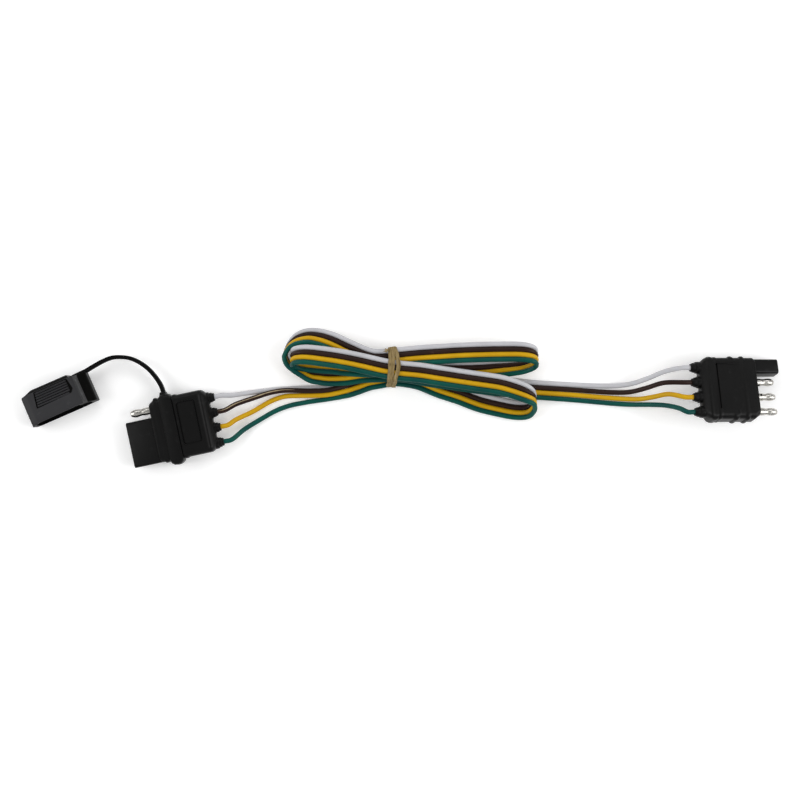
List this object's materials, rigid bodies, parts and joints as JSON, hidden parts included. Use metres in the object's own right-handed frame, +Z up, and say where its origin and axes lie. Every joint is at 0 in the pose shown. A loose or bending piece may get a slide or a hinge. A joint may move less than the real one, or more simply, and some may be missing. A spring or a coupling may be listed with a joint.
{
  "type": "trailer wiring harness connector",
  "caption": "Flat trailer wiring harness: shrouded socket connector with tethered dust cap, pin plug connector, and bonded wires tied in a hank.",
  "frame": {"origin": "middle of the bounding box of the two connectors and the cap, on the surface they lie on", "axes": "+X from the socket connector towards the plug connector, +Z up from the surface"},
  "size_m": [0.4699, 0.0844, 0.0286],
  "materials": {
    "connector_pvc": "satin moulded soft PVC, fine grain",
    "carrier_plastic": "matt hard plastic",
    "cap_rubber": "satin rubber, slightly dusty",
    "plated_contact": "bright tin or nickel plate on formed brass",
    "copper_strand": "bare stranded copper",
    "insulation_white": "satin extruded PVC",
    "insulation_brown": "satin extruded PVC",
    "insulation_yellow": "satin extruded PVC",
    "insulation_green": "satin extruded PVC",
    "wound_wire": "four colours of satin PVC insulation, wound",
    "tie_fibre": "twisted paper or raffia strip"
  },
  "bodies": {
    "harness": {"socket_body": "connector_pvc", "socket_insert": "carrier_plastic", "socket_sleeve_brown": "plated_contact", "socket_sleeve_yellow": "plated_contact", "socket_sleeve_green": "plated_contact", "socket_pin_white": "plated_contact", "neck_ring": "cap_rubber", "plug_body": "connector_pvc", "plug_insert": "carrier_plastic", "plug_pin_brown": "plated_contact", "plug_pin_yellow": "plated_contact", "plug_pin_green": "plated_contact", "plug_sleeve_white": "plated_contact", "socket_conductor_white": "copper_strand", "socket_lead_white": "insulation_white", "socket_wire_white": "insulation_white", "socket_conductor_brown": "copper_strand", "socket_lead_brown": "insulation_brown", "socket_wire_brown": "insulation_brown", "socket_conductor_yellow": "copper_strand", "socket_lead_yellow": "insulation_yellow", "socket_wire_yellow": "insulation_yellow", "socket_conductor_green": "copper_strand", "socket_lead_green": "insulation_green", "socket_wire_green": "insulation_green", "plug_conductor_white": "copper_strand", "plug_lead_white": "insulation_white", "plug_wire_white": "insulation_white", "plug_conductor_brown": "copper_strand", "plug_lead_brown": "insulation_brown", "plug_wire_brown": "insulation_brown", "plug_conductor_yellow": "copper_strand", "plug_lead_yellow": "insulation_yellow", "plug_wire_yellow": "insulation_yellow", "plug_conductor_green": "copper_strand", "plug_lead_green": "insulation_green", "plug_wire_green": "insulation_green", "wire_hank": "wound_wire", "hank_tie": "tie_fibre"},
    "strap": {"cap_strap": "cap_rubber"},
    "cap": {"dust_cap": "cap_rubber"}
  },
  "joints": [
    {"name": "cap_push", "type": "slide", "parent": "harness", "child": "strap", "axis": [0.9781, 0.2079, 0], "range_m": [0, 0.02], "deforming": ["cap_strap"]},
    {"name": "cap_swing", "type": "hinge", "parent": "strap", "child": "cap", "pos_m": [-0.18127, 0.01233, 0.007], "axis": [0, 0, 1], "range_deg": [-40, 78.4], "deforming": ["cap_strap"]}
  ]
}
